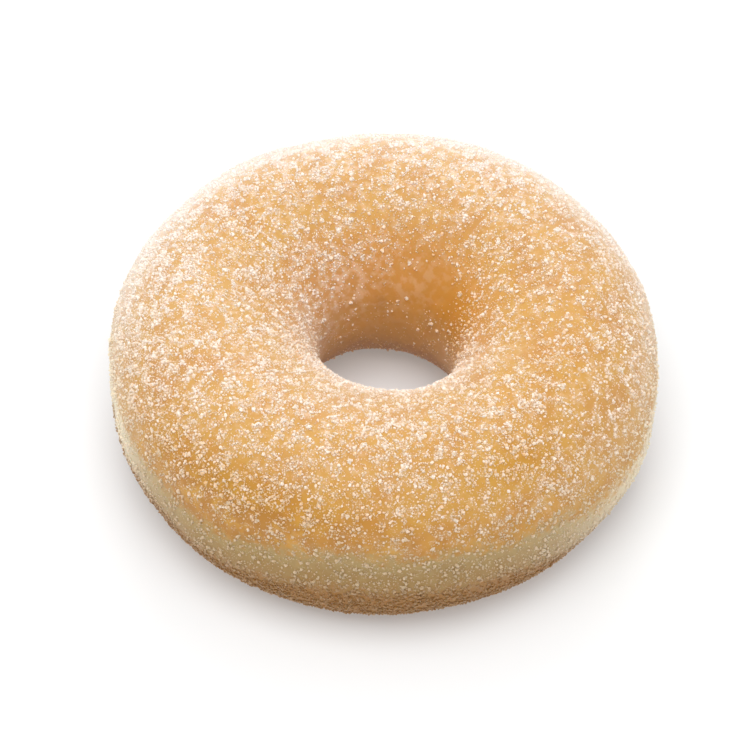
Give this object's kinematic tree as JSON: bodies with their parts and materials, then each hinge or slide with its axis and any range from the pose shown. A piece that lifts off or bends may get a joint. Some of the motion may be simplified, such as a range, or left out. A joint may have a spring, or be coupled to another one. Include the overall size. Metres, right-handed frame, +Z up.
{
  "type": "sugar ring doughnut",
  "caption": "Ring doughnut of raised, fried dough with a pale belt round its side, a slightly oval hole and caked sugar fused to its crust.",
  "frame": {"origin": "on the surface that the ring rests on, under the middle of its outline", "axes": "+Z up through the hole; -Y is the side that faces the picture's camera, +X its right"},
  "size_m": [0.0915, 0.0921, 0.0369],
  "materials": {
    "sugared_crust": "golden fried crust under coarse white sugar, with a pale belt and a browner base"
  },
  "bodies": {
    "root": {"doughnut": "sugared_crust"}
  },
  "joints": []
}
